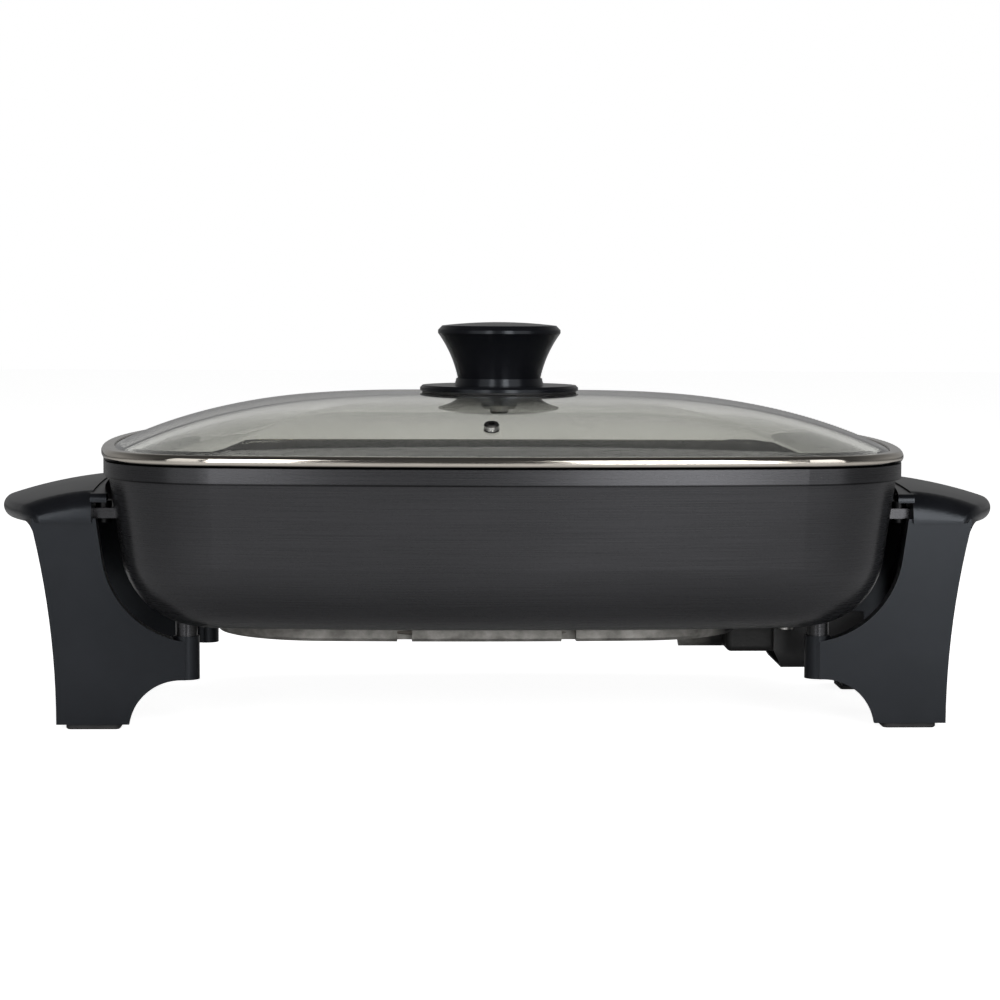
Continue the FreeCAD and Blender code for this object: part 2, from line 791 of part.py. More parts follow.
def make_spacers(end):
    spacers = []
    for side in (-1, 1):
        place = point(end * upper_screw_x(), side * upper_screw_place, lug_top)
        ring = cylinder(spacer_radius, upper_screw_gap, place)
        spacers.append(ring.cut(cylinder(upper_screw_radius + screw_clearance, upper_screw_gap, place)))
    return Part.makeCompound(spacers)


# Section of the lid's band: rolled round the edge of the glass, with a lip into the pan
def lid_rim_section(radius):
    low = rim_height + lid_seat_gap
    high = low + lid_rim_height
    sheet = lid_rim_sheet
    bend = lid_rim_round
    turn = bend - lid_overhang
    lip_low = rim_height - lid_lip_depth
    lip_out = rim_inner_inset() + lid_lip_clearance
    upper = [(turn, high - sheet), (lid_rim_lap, high - sheet), (lid_rim_lap, high), (turn, high)]
    lower = [(turn, low), (lip_out, low), (lip_out, lip_low), (lip_out + sheet, lip_low),
             (lip_out + sheet, low + sheet), (turn, low + sheet)]
    edges = []
    for line in (upper, lower):
        corners = [point(radius - inset, 0, z) for inset, z in line]
        edges += [Part.makeLine(first, second) for first, second in zip(corners, corners[1:])]
    high_centre = point(radius - turn, 0, high - bend)
    low_centre = point(radius - turn, 0, low + bend)
    for size in (bend, bend - sheet):
        edges.append(side_arc(high_centre, size, math.pi / 2, 0))
        edges.append(side_arc(low_centre, size, 0, -math.pi / 2))
        edges.append(Part.makeLine(high_centre + along * size, low_centre + along * size))
    return Part.Wire(Part.__sortEdges__(edges))


def make_lid_rim():
    return plan_ring(lid_rim_section, pan_arcs())


# Height of the dome's outer face at a share of the way out from the middle
def dome_z(share):
    edge = glass_bottom + glass_edge
    return edge + (glass_top - edge) * (1 - share ** dome_power)


# Level curves of the dome are the edge curve drawn smaller and smaller
def dome_solid(inset, depth):
    wires = []
    for fall in (1.0, 0.85, 0.65, 0.4, 0.2, 0.07, 0.015, 0.001):
        share = fall ** (1 / dome_power)
        wires.append(plan_wire(inset, dome_z(share) - depth, share))
    return Part.makeLoft(wires, True, False)


def share_at(x, y):
    line = Part.makeLine(point(0, 0, 0), point(x, y, 0).normalize() * (2 * pan_half_length))
    edge = line.distToShape(plan_wire(dome_inset, 0))[1][0][0]
    return math.hypot(x, y) / math.hypot(edge.x, edge.y)


def vent_seat():
    return point(vent_x, vent_y, dome_z(share_at(vent_x, vent_y)))


def vent_axis():
    rise_x = dome_z(share_at(vent_x + 1, vent_y)) - dome_z(share_at(vent_x - 1, vent_y))
    rise_y = dome_z(share_at(vent_x, vent_y + 1)) - dome_z(share_at(vent_x, vent_y - 1))
    return point(-rise_x / 2, -rise_y / 2, 1).normalize()


def vent_cylinder(radius, over, under):
    base = vent_seat() - vent_axis() * (glass_thickness + under)
    return cylinder(radius, glass_thickness + over + under, base, vent_axis())


def make_glass():
    edge = plan_prism(lid_rim_round - lid_overhang, glass_bottom, glass_bottom + glass_edge)
    dome = dome_solid(dome_inset, 0)
    hollow = dome_solid(dome_inset + glass_thickness / 2, glass_thickness)
    body = edge.fuse(dome).cut(hollow).removeSplitter()
    hole = cylinder(glass_hole, glass_top - glass_bottom, point(0, 0, glass_bottom))
    return body.cut([hole, vent_cylinder(vent_tube_radius + vent_gap, glass_thickness, glass_thickness)])


def make_vent():
    axis = vent_axis()
    tube = vent_cylinder(vent_tube_radius, vent_gap, vent_under_gap)
    over_seat = vent_seat() + axis * vent_gap
    over = Part.makeCone(vent_flange_radius, vent_flange_radius - vent_flange_edge,
                         vent_flange_height, over_seat, axis)
    under_seat = vent_seat() - axis * (glass_thickness + vent_under_gap + vent_flange_height)
    under = cylinder(vent_flange_radius, vent_flange_height, under_seat, axis)
    return fuse_all([tube, over, under]).cut(vent_cylinder(vent_bore, glass_thickness, glass_thickness))


def make_knob_base():
    low = knob_base_low
    top = low + flange_thickness
    bore = knob_screw_radius + knob_bore_gap
    return turned([(bore, low), (flange_radius, low), (flange_radius, top - flange_bevel),
                   (flange_radius - flange_bevel, top), (collar_radius + collar_flare, top),
                   (collar_radius, neck_z), (bore, neck_z)])


def make_knob_grip():
    top = rim_height + knob_height
    edge = top - knob_cap_edge
    cap = knob_cap_radius
    crown_edge = cap - knob_cap_bevel
    crown_radius = (crown_edge ** 2 + knob_crown ** 2) / (2 * knob_crown)
    crown_centre = point(0, 0, top - crown_radius)
    hollow = insert_radius + knob_bore_gap
    waist = point(knob_waist_radius, 0, neck_z + (edge - neck_z) * knob_waist_share)
    deep = neck_z + insert_length + knob_bore_gap
    corners = [point(cap, 0, edge), point(cap, 0, edge + knob_cap_band),
               point(crown_edge, 0, top - knob_crown)]
    edges = [Part.makeLine(first, second) for first, second in zip(corners, corners[1:])]
    edges.append(side_arc(crown_centre, crown_radius, math.acos(crown_edge / crown_radius), math.pi / 2))
    corners = [point(0, 0, top), point(0, 0, deep), point(hollow, 0, deep), point(hollow, 0, neck_z),
               point(knob_neck_radius, 0, neck_z)]
    edges += [Part.makeLine(first, second) for first, second in zip(corners, corners[1:])]
    edges.append(Part.Arc(point(knob_neck_radius, 0, neck_z), waist, point(cap, 0, edge)).toShape())
    return Part.Face(Part.Wire(Part.__sortEdges__(edges))).revolve(point(0, 0, 0), up, 360)


def make_knob_insert():
    bore = knob_screw_radius + screw_clearance
    return turned([(bore, neck_z), (insert_radius, neck_z), (insert_radius, neck_z + insert_length),
                   (bore, neck_z + insert_length)])


# Flat ring on the knob's screw
def ring(radius, low, high):
    bore = knob_screw_radius + knob_bore_gap
    return turned([(bore, low), (radius, low), (radius, high), (bore, high)])


def make_knob_screw():
    seat = washer_top - washer_thickness
    head = seat - knob_screw_head_height
    edge = knob_screw_head_edge
    radius = knob_screw_head_radius
    reach = neck_z + knob_screw_reach
    return turned([(0, head), (radius - edge, head), (radius, head + edge), (radius, seat),
                   (knob_screw_radius, seat), (knob_screw_radius, reach), (0, reach)])


def build():
    handle = make_handle()
    parts = {
        "pan": make_pan(),
        "heater_base": make_heater_base(),
        "heating_element": element_tube(element_radius),
        "sensor_sleeve": make_sensor_sleeve(),
        "socket_shroud": make_shroud(),
        "shroud_screws": make_shroud_screws(),
        "left_handle": mirrored(handle, along),
        "right_handle": handle,
        "lid_rim": make_lid_rim(),
        "lid_glass": make_glass(),
        "vent_eyelet": make_vent(),
        "knob_base": make_knob_base(),
        "knob_grip": make_knob_grip(),
        "knob_insert": make_knob_insert(),
        "knob_gasket_upper": ring(gasket_radius, glass_top, knob_base_low),
        "knob_gasket_lower": ring(washer_radius + gasket_lap, washer_top, washer_top + gasket_thickness),
        "knob_washer": ring(washer_radius, washer_top - washer_thickness, washer_top),
        "knob_screw": make_knob_screw(),
    }
    for side, side_name in ((-1, "front"), (1, "back")):
        parts["terminal_pin_" + side_name] = make_pin(side)
        parts["pin_insulator_" + side_name] = make_insulator(side)
        for end, end_name in ((-1, "left"), (1, "right")):
            parts["foot_" + side_name + "_" + end_name] = make_foot(end * pad_x, side * pad_y)
    for end, end_name in ((-1, "left"), (1, "right")):
        parts[end_name + "_leg_screws"] = make_lower_screws(end)
        parts[end_name + "_handle_screws"] = make_upper_screws(end)
        parts[end_name + "_handle_spacers"] = make_spacers(end)
    return parts


os.makedirs("parts", exist_ok=True)
for name, shape in build().items():
    shape.exportStep("parts/" + name + ".step")
    print(name, len(shape.Solids), "valid" if shape.isValid() else "not valid", round(shape.Volume))
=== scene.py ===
import json
import math

import bmesh
import bpy
from mathutils import Matrix, Vector

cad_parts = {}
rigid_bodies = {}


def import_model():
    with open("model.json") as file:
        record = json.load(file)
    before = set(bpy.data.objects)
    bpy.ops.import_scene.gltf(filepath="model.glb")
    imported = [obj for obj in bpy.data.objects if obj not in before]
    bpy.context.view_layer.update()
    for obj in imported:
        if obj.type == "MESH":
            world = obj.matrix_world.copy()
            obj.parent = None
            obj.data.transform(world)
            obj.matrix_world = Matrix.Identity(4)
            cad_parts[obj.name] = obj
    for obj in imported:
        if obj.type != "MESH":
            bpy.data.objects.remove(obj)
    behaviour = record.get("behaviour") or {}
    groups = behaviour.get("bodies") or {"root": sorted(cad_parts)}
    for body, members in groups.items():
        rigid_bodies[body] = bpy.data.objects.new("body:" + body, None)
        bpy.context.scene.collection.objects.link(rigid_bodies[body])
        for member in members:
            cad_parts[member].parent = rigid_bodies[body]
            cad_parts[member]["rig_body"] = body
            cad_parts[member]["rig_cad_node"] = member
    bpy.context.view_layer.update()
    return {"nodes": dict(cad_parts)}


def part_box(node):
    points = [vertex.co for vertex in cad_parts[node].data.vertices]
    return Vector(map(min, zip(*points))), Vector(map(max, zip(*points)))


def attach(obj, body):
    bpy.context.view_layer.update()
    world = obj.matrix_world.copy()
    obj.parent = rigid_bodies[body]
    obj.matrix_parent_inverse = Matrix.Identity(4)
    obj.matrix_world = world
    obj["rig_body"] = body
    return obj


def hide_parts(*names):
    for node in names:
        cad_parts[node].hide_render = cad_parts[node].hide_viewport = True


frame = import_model()
nodes = frame["nodes"]
print("frame loaded with", len(nodes), "nodes")

# Camera

view = {
    "target": (0.0, 0.0, 0.134),     # middle of the pan's rim
    "distance": 1.4,
    "azimuth": -2.2,
    "elevation": 3.4,
    "roll": 0.23,
    "lens": 96.3,
    "sensor": 36.0,
    "shift": (0.0012, -0.049),
}


def makeCamera():
    turn = math.radians(view["azimuth"])
    tilt = math.radians(view["elevation"])
    back = Vector((math.sin(turn) * math.cos(tilt), -math.cos(turn) * math.cos(tilt), math.sin(tilt)))
    bpy.ops.object.camera_add()
    camera = bpy.context.object
    camera.name = "viewCamera"
    camera.location = Vector(view["target"]) + back * view["distance"]
    aim = (-back).to_track_quat("-Z", "Y").to_matrix()
    roll = Matrix.Rotation(math.radians(view["roll"]), 3, "Z")
    camera.rotation_euler = (aim @ roll).to_euler()
    camera.data.lens = view["lens"]
    camera.data.sensor_width = view["sensor"]
    camera.data.shift_x, camera.data.shift_y = view["shift"]
    bpy.context.scene.camera = camera


makeCamera()
bpy.context.scene.view_settings.view_transform = "Standard"
print("camera set")


# Shader helpers

class Value:
    # A node's output that can stand in Python arithmetic

    def __init__(self, tree, socket):
        self.tree = tree
        self.socket = socket

    def compute(self, operation, first, second=None):
        node = self.tree.nodes.new("ShaderNodeMath")
        node.operation = operation
        for place, part in enumerate((first, second)):
            if isinstance(part, Value):
                self.tree.links.new(part.socket, node.inputs[place])
            elif part is not None:
                node.inputs[place].default_value = part
        return Value(self.tree, node.outputs[0])

    def __add__(self, other):
        return self.compute("ADD", self, other)

    __radd__ = __add__

    def __sub__(self, other):
        return self.compute("SUBTRACT", self, other)

    def __rsub__(self, other):
        return self.compute("SUBTRACT", other, self)

    def __mul__(self, other):
        return self.compute("MULTIPLY", self, other)

    __rmul__ = __mul__

    def __gt__(self, other):
        return self.compute("GREATER_THAN", self, other)

    def __abs__(self):
        return self.compute("ABSOLUTE", self)


class Finish:
    # One material, built up node by node round its Principled shader

    def __init__(self, name):
        self.material = bpy.data.materials.new(name)
        self.material.use_nodes = True
        self.tree = self.material.node_tree
        self.shader = self.tree.nodes["Principled BSDF"]
        self.place = self.node("ShaderNodeTexCoord").outputs["Object"]

    def put(self, socket, value):
        if isinstance(value, Value):
            self.tree.links.new(value.socket, socket)
        elif isinstance(value, bpy.types.NodeSocket):
            self.tree.links.new(value, socket)
        else:
            socket.default_value = value

    def node(self, kind, settings=None, sockets=None):
        made = self.tree.nodes.new(kind)
        for key, value in (settings or {}).items():
            setattr(made, key, value)
        for key, value in (sockets or {}).items():
            self.put(made.inputs[key], value)
        return made

    def value(self, kind, settings, sockets, output):
        return Value(self.tree, self.node(kind, settings, sockets).outputs[output])

    def stretch(self, scale):
        return self.node("ShaderNodeMapping", {}, {"Vector": self.place, "Scale": scale}).outputs[0]

    def noise(self, scale, detail=3.0, rough=0.5, along=(1, 1, 1)):
        sockets = {"Vector": self.stretch(along), "Scale": scale, "Detail": detail, "Roughness": rough}
        return self.value("ShaderNodeTexNoise", {}, sockets, 0)

    def ramp(self, factor, low, high):
        # 0 up to low, 1 from high on
        sockets = {"Value": factor, "From Min": low, "From Max": high}
        return self.value("ShaderNodeMapRange", {}, sockets, 0)

    def apart(self, vector):
        # The X, Y and Z of a vector
        split = self.node("ShaderNodeSeparateXYZ", {}, {"Vector": vector})
        return [Value(self.tree, output) for output in split.outputs]

    def blend(self, factor, first, second):
        # Colour between two colours
        mix = self.node("ShaderNodeMix", {"data_type": "RGBA"}, {"Factor": factor})
        self.put(mix.inputs[6], first)
        self.put(mix.inputs[7], second)
        return mix.outputs[2]

    def bump(self, height, depth, strength):
        sockets = {"Height": height, "Distance": depth, "Strength": strength}
        return self.node("ShaderNodeBump", {}, sockets).outputs[0]

    def finish(self, **sockets):
        for key, value in sockets.items():
            self.put(self.shader.inputs[key.replace("_", " ")], value)
        return self.material


def around(noise, amount):
    # A noise from 0 to 1 made a swing about zero
    return (noise - 0.5) * amount


def matching(words):
    return [name for name in nodes if any(word in name for word in words)]


def paint(material, *names):
    for name in names:
        slots = nodes[name].data.materials
        slots.clear()
        slots.append(material)


# Finishes

panFinish = {
    "outside": (0.044, 0.044, 0.047, 1),
    "outsideLight": (0.060, 0.060, 0.064, 1),
    "tones": (0.34, 0.68),           # noise at which the two tones are pure
    "inside": (0.012, 0.012, 0.013, 1),
    "speckle": (0.04, 0.04, 0.042, 1),
    "speckles": (0.66, 0.74),
    "wallEdge": 0.004,               # softness of the change from coating to brushed wall
    "underShare": 0.02,              # so that faces that look down count as outside
    "bandHeight": 0.0076,            # of the smooth band round the rim
    # painted shade: a thin dark line round the wall just under the rim's band, where the band's step would
    # cast shade
    "underBandShadeWidth": 0.0007,
    "underBandShade": (0.004, 0.004, 0.0045, 1),
    "underBandShadeWeight": 0.85,
    "brushScale": 2600.0,            # lines per metre up the wall
    "brushStretch": (0.006, 0.006, 1),
    "brushDepth": 0.000012,
    "brushSpread": 0.55,
    "brushTurn": 0.25,
    "cloudScale": 9.0,
    "grainScale": 2600.0,
    "roughness": 0.28,
    "metallic": 0.85,
}


def panMaterial():
    make = Finish("panCoating")
    x, y, z = make.apart(make.place)
    faceX, faceY, faceZ = make.apart(make.node("ShaderNodeNewGeometry").outputs["Normal"])
    outward = x * faceX + y * faceY - faceZ * panFinish["underShare"]
    outside = make.ramp(outward, -panFinish["wallEdge"], panFinish["wallEdge"])
    lines = make.noise(panFinish["brushScale"], 3.0, 0.6, panFinish["brushStretch"])
    cloud = make.noise(panFinish["cloudScale"], 2.0, 0.5, (1, 1, 2))
    grain = make.noise(panFinish["grainScale"], 2.0, 0.6)
    shade = make.ramp(lines * 0.5 + cloud * 0.5, *panFinish["tones"])
    metal = make.blend(shade, panFinish["outside"], panFinish["outsideLight"])
    coating = make.blend(make.ramp(grain, *panFinish["speckles"]), panFinish["inside"], panFinish["speckle"])
    fromBand = abs(z - (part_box("pan")[1].z - panFinish["bandHeight"]))
    # Painted shade: the wall is darkened in a thin line just under the rim's band
    underBandShade = 1.0 - make.ramp(fromBand, panFinish["underBandShadeWidth"] * 0.4, panFinish["underBandShadeWidth"])
    metal = make.blend(underBandShade * panFinish["underBandShadeWeight"], metal, panFinish["underBandShade"])
    return make.finish(
        Base_Color=make.blend(outside, coating, metal),
        Roughness=panFinish["roughness"] + around(lines, 0.1) * outside + around(grain, 0.08),
        Metallic=outside * panFinish["metallic"],
        Anisotropic=panFinish["brushSpread"],
        Anisotropic_Rotation=panFinish["brushTurn"],
        Normal=make.bump(lines * outside + grain * 0.4, panFinish["brushDepth"], 0.6),
    )


castFinish = {
    "bright": (0.30, 0.292, 0.273, 1),
    "dull": (0.14, 0.135, 0.125, 1),
    "mottleScale": 95.0,
    "mottles": (0.36, 0.66),
    "stain": (0.07, 0.062, 0.055, 1),
    "stainScale": 38.0,
    "stains": (0.56, 0.72),
    "stainWeight": 0.7,
    # painted shade: the near-black painted over the casting's socket end
    "socket": (0.02, 0.02, 0.02, 1),
    "socketShadeStart": 0.112,            # painted shade: the casting is painted near-black from here to the socket end, where it lies in shade
    "socketShadeFade": 0.008,
    "socketShadeWander": 0.01,
    "grainScale": 900.0,
    "grainDepth": 0.00012,
    "roughness": 0.36,
    "metallic": 0.6,
}


def castMaterial():
    make = Finish("castAluminium")
    mottle = make.noise(castFinish["mottleScale"], 4.0, 0.62)
    fine = make.noise(castFinish["grainScale"], 3.0, 0.6)
    stain = make.ramp(make.noise(castFinish["stainScale"], 3.0, 0.6, (1, 1, 2)), *castFinish["stains"])
    colour = make.blend(make.ramp(mottle, *castFinish["mottles"]), castFinish["dull"], castFinish["bright"])
    colour = make.blend(stain * castFinish["stainWeight"], colour, castFinish["stain"])
    # Painted shade: the casting turns near-black along X towards the socket end
    end = make.apart(make.place)[0] + around(mottle, castFinish["socketShadeWander"])
    start = castFinish["socketShadeStart"]
    black = make.ramp(end, start - castFinish["socketShadeFade"], start)
    return make.finish(
        Base_Color=make.blend(black, colour, castFinish["socket"]),
        Roughness=castFinish["roughness"] + fine * 0.22 + stain * 0.15,
        Metallic=castFinish["metallic"],
        Normal=make.bump(fine + mottle * 1.5, castFinish["grainDepth"], 0.5),
    )


mouldFinish = {
    "colour": (0.0045, 0.0048, 0.0062, 1),
    "worn": (0.0085, 0.009, 0.011, 1),
    "wear": (0.45, 0.8),
    "wearScale": 22.0,
    "grainScale": 1500.0,
    "grainDepth": 0.00002,
    "sheen": (0.84, 0.91, 1.0, 1),   # the faintly blue gloss of the black moulding
    "coatRoughness": 0.1,
    "handleMoulding": {"roughness": 0.31, "gloss": 0.32, "coat": 0.05},
    "knobMoulding": {"roughness": 0.24, "gloss": 0.25, "coat": 0.08},
}


def mouldMaterial(name):
    make = Finish(name)
    gloss = mouldFinish[name]
    cloud = make.noise(mouldFinish["wearScale"], 3.0, 0.55)
    grain = make.noise(mouldFinish["grainScale"], 2.0, 0.5)
    wear = make.ramp(cloud, *mouldFinish["wear"])
    return make.finish(
        Base_Color=make.blend(wear, mouldFinish["colour"], mouldFinish["worn"]),
        Roughness=gloss["roughness"] + around(cloud, 0.08) + around(grain, 0.05),
        Specular_IOR_Level=gloss["gloss"],
        Specular_Tint=mouldFinish["sheen"],
        Coat_Weight=gloss["coat"],
        Coat_Roughness=mouldFinish["coatRoughness"],
        Normal=make.bump(grain, mouldFinish["grainDepth"], 0.4),
    )


steels = {
    "polishedSteel": {
        "colour": (0.72, 0.67, 0.60, 1),
        "dull": (0.60, 0.56, 0.50, 1),
        "roughness": 0.09,
        "stretch": (1, 1, 30),
        "scale": 60.0,
        "nodes": ("lid_rim",),
        "shade": (0.01, 0.0095, 0.009, 1),
        "shadeHeight": 0.0016,       # height of the painted shade under the lid's band, above the pan
    },
    "ventSteel": {
        "colour": (0.07, 0.068, 0.065, 1),
        "dull": (0.035, 0.034, 0.032, 1),
        "roughness": 0.38,
        "stretch": (1, 1, 1),
        "scale": 300.0,
        "nodes": ("vent_eyelet",),
    },
    "blackSteel": {
        "colour": (0.03, 0.03, 0.031, 1),
        "dull": (0.018, 0.018, 0.019, 1),
        "roughness": 0.35,
        "stretch": (1, 1, 1),
        "scale": 500.0,
        "nodes": ("handle_screws", "handle_spacers"),
    },
    "platedSteel": {
        "colour": (0.6, 0.59, 0.56, 1),
        "dull": (0.42, 0.41, 0.39, 1),
        "roughness": 0.28,
        "stretch": (1, 1, 1),
        "scale": 500.0,
        "nodes": ("leg_screws", "shroud_screws", "knob_screw", "knob_washer"),
    },
    "drawnSteel": {
        "colour": (0.45, 0.44, 0.42, 1),
        "dull": (0.3, 0.29, 0.28, 1),
        "roughness": 0.3,
        "stretch": (1, 1, 8),
        "scale": 200.0,
        "nodes": ("sensor_sleeve",),
    },
    "pinMetal": {
        "colour": (0.66, 0.63, 0.56, 1),
        "dull": (0.5, 0.47, 0.41, 1),
        "roughness": 0.2,
        "stretch": (0.1, 1, 1),
        "scale": 900.0,
        "nodes": ("terminal_pin",),
    },
}


def steelMaterial(name, steel):
    make = Finish(name)
    lines = make.noise(steel["scale"], 3.0, 0.6, steel["stretch"])
    smear = make.noise(30.0, 3.0, 0.5)
    base = make.blend(make.ramp(lines, 0.35, 0.7), steel["colour"], steel["dull"])
    if "shade" in steel:
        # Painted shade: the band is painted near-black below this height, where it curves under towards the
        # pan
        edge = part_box("pan")[1].z + steel["shadeHeight"]
        unshaded = make.ramp(make.apart(make.place)[2], edge - 0.0004, edge + 0.0004)
        base = make.blend(unshaded, steel["shade"], base)
    return make.finish(
        Base_Color=base,
        Roughness=steel["roughness"] + around(smear, 0.1) + around(lines, 0.08),
        Metallic=1.0,
        Normal=make.bump(lines, 0.00001, 0.4),
    )


glassFinish = {
    "tint": (0.70, 0.702, 0.663, 1),
    "film": (0.66, 0.662, 0.625, 1),
    "filmScale": 14.0,
    "dustScale": 700.0,
    "haze": 0.02,                    # roughness where the glass isn't clean
    "index": 1.5,
}


def glassMaterial():
    make = Finish("temperedGlass")
    film = make.noise(glassFinish["filmScale"], 4.0, 0.6)
    dust = make.noise(glassFinish["dustScale"], 2.0, 0.6)
    return make.finish(
        Base_Color=make.blend(make.ramp(film, 0.4, 0.7), glassFinish["tint"], glassFinish["film"]),
        Roughness=make.ramp(film * 0.8 + dust * 0.2, 0.5, 0.75) * glassFinish["haze"],
        Transmission_Weight=1.0,
        IOR=glassFinish["index"],
    )


plains = {
    "elementSheath": {
        "colour": (0.12, 0.11, 0.1, 1),
        "other": (0.2, 0.18, 0.16, 1),
        "roughness": 0.5,
        "metallic": 0.8,
        "scale": 500.0,
        "depth": 0.00005,
        "nodes": ("heating_element",),
    },
    "ceramic": {
        "colour": (0.72, 0.69, 0.62, 1),
        "other": (0.62, 0.58, 0.5, 1),
        "roughness": 0.55,
        "metallic": 0.0,
        "scale": 900.0,
        "depth": 0.00006,
        "nodes": ("pin_insulator",),
    },
    "paintedSheet": {
        "colour": (0.016, 0.016, 0.017, 1),
        "other": (0.03, 0.03, 0.031, 1),
        "roughness": 0.42,
        "metallic": 0.2,
        "scale": 700.0,
        "depth": 0.00005,
        "nodes": ("socket_shroud",),
    },
    "rubber": {
        "colour": (0.018, 0.018, 0.019, 1),
        "other": (0.035, 0.035, 0.036, 1),
        "roughness": 0.75,
        "metallic": 0.0,
        "scale": 1200.0,
        "depth": 0.00012,
        "nodes": ("foot_",),
    },
    "siliconeSeal": {
        "colour": (0.022, 0.022, 0.024, 1),
        "other": (0.04, 0.04, 0.042, 1),
        "roughness": 0.55,
        "metallic": 0.0,
        "scale": 900.0,
        "depth": 0.00004,
        "nodes": ("knob_gasket",),
    },
    "brass": {
        "colour": (0.62, 0.44, 0.18, 1),
        "other": (0.5, 0.34, 0.14, 1),
        "roughness": 0.3,
        "metallic": 1.0,
        "scale": 700.0,
        "depth": 0.00003,
        "nodes": ("knob_insert",),
    },
}


def plainMaterial(name, plain):
    # Two tones, a grain and a fine bump
    make = Finish(name)
    patch = make.noise(plain["scale"] * 0.1, 3.0, 0.55)
    grain = make.noise(plain["scale"], 3.0, 0.6)
    return make.finish(
        Base_Color=make.blend(make.ramp(patch, 0.35, 0.7), plain["colour"], plain["other"]),
        Roughness=plain["roughness"] + around(grain, 0.15) + around(patch, 0.1),
        Metallic=plain["metallic"],
        Normal=make.bump(grain, plain["depth"], 0.6),
    )


paint(panMaterial(), "pan")
paint(castMaterial(), "heater_base")
paint(mouldMaterial("handleMoulding"), "left_handle", "right_handle")
paint(mouldMaterial("knobMoulding"), "knob_grip", "knob_base")
for finishName, finishValues in steels.items():
    paint(steelMaterial(finishName, finishValues), *matching(finishValues["nodes"]))
for finishName, finishValues in plains.items():
    paint(plainMaterial(finishName, finishValues), *matching(finishValues["nodes"]))
temperedGlass = glassMaterial()
paint(temperedGlass, "lid_glass")
print("finishes made")

# Handles with rounded edges

handleEdges = {
    "merge": 0.000002,
    "flat": 0.5,                     # degrees between faces that count as one
    "sharp": 38.0,                   # degrees at which an edge is rounded
    "width": 0.0009,
    "segments": 3,
}


def softenHandle(name):
    source = nodes[name]
    bpy.ops.object.select_all(action="DESELECT")
    source.select_set(True)
    bpy.context.view_layer.objects.active = source
    bpy.ops.object.duplicate()
    piece = bpy.context.object
    piece.name = name + "_moulding"
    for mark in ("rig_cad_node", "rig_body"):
        del piece[mark]
    bpy.ops.object.mode_set(mode="EDIT")
    bpy.ops.mesh.select_all(action="SELECT")
    bpy.ops.mesh.remove_doubles(threshold=handleEdges["merge"])
    bpy.ops.mesh.dissolve_limited(angle_limit=math.radians(handleEdges["flat"]))
    bpy.ops.object.mode_set(mode="OBJECT")
    bpy.ops.object.modifier_add(type="BEVEL")
    bevel = piece.modifiers[-1]
    bevel.width = handleEdges["width"]
    bevel.segments = handleEdges["segments"]
    bevel.limit_method = "ANGLE"
    bevel.angle_limit = math.radians(handleEdges["sharp"])
    bpy.ops.object.modifier_apply(modifier=bevel.name)
    bpy.ops.object.shade_smooth_by_angle(angle=math.radians(handleEdges["sharp"]))
    bpy.ops.object.modifier_add(type="WEIGHTED_NORMAL")
    weighted = piece.modifiers[-1]
    weighted.keep_sharp = True
    weighted.weight = 90
    bpy.ops.object.modifier_apply(modifier=weighted.name)
    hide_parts(name)
    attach(piece, "base")


softenHandle("left_handle")
softenHandle("right_handle")
print("handles rounded")

# Glass dome, on an even mesh so that it shows no ripples

dome = {
    "halfLength": 0.203,             # the pan's outline, which the lid follows
    "halfDepth": 0.152,
    "longBow": 0.020,
    "shortBow": 0.023,
    "corner": 0.063,
    "arcSteps": (28, 22, 40, 22),    # points on each arc of a half outline
    "edgeInset": 0.0016,             # edge of the glass, inside its band
    "domeInset": 0.0058,
    "thickness": 0.004,
    "edgeHeight": 0.0039,
    "power": 3.6,
    "rings": 44,
    "hole": 0.0046,
    "ventHole": 0.00275,
    "ventSides": 40,
    "ventTilt": 19.6,                # degrees that the glass slopes at the vent
    "cutLength": 0.03,
    "smooth": 30.0,
}


def outlineArcs():
    # Centre, radius, start and sweep of the eight arcs, counterclockwise from +X
    longRadius = (dome["halfLength"] ** 2 + dome["longBow"] ** 2) / (2 * dome["longBow"])
    shortRadius = (dome["halfDepth"] ** 2 + dome["shortBow"] ** 2) / (2 * dome["shortBow"])
    longCentre = Vector((0.0, dome["halfDepth"] - longRadius))
    shortCentre = Vector((dome["halfLength"] - shortRadius, 0.0))
    far = longRadius - dome["corner"]
    near = shortRadius - dome["corner"]
    gap = shortCentre - longCentre
    step = (far ** 2 - near ** 2 + gap.length_squared) / (2 * gap.length)
    ahead = gap.normalized()
    centre = longCentre + ahead * step + Vector((ahead.y, -ahead.x)) * math.sqrt(far ** 2 - step ** 2)
    steep = math.atan2(centre.y - longCentre.y, centre.x)
    flat = math.atan2(centre.y, centre.x - shortCentre.x)
    arcs = []
    for turn in (0.0, math.pi):
        sign = math.cos(turn)
        mirrored = Vector((-centre.x, centre.y)) * sign
        arcs.append((shortCentre * sign, shortRadius, turn - flat, 2 * flat))
        arcs.append((centre * sign, dome["corner"], turn + flat, steep - flat))
        arcs.append((longCentre * sign, longRadius, turn + steep, math.pi - 2 * steep))
        arcs.append((mirrored, dome["corner"], turn + math.pi - steep, steep - flat))
    return arcs


def outline(inset):
    points = []
    for number, (centre, radius, start, sweep) in enumerate(outlineArcs()):
        steps = dome["arcSteps"][number % len(dome["arcSteps"])]
        for step in range(steps):
            angle = start + sweep * step / steps
            points.append(centre + Vector((math.cos(angle), math.sin(angle))) * (radius - inset))
    return points


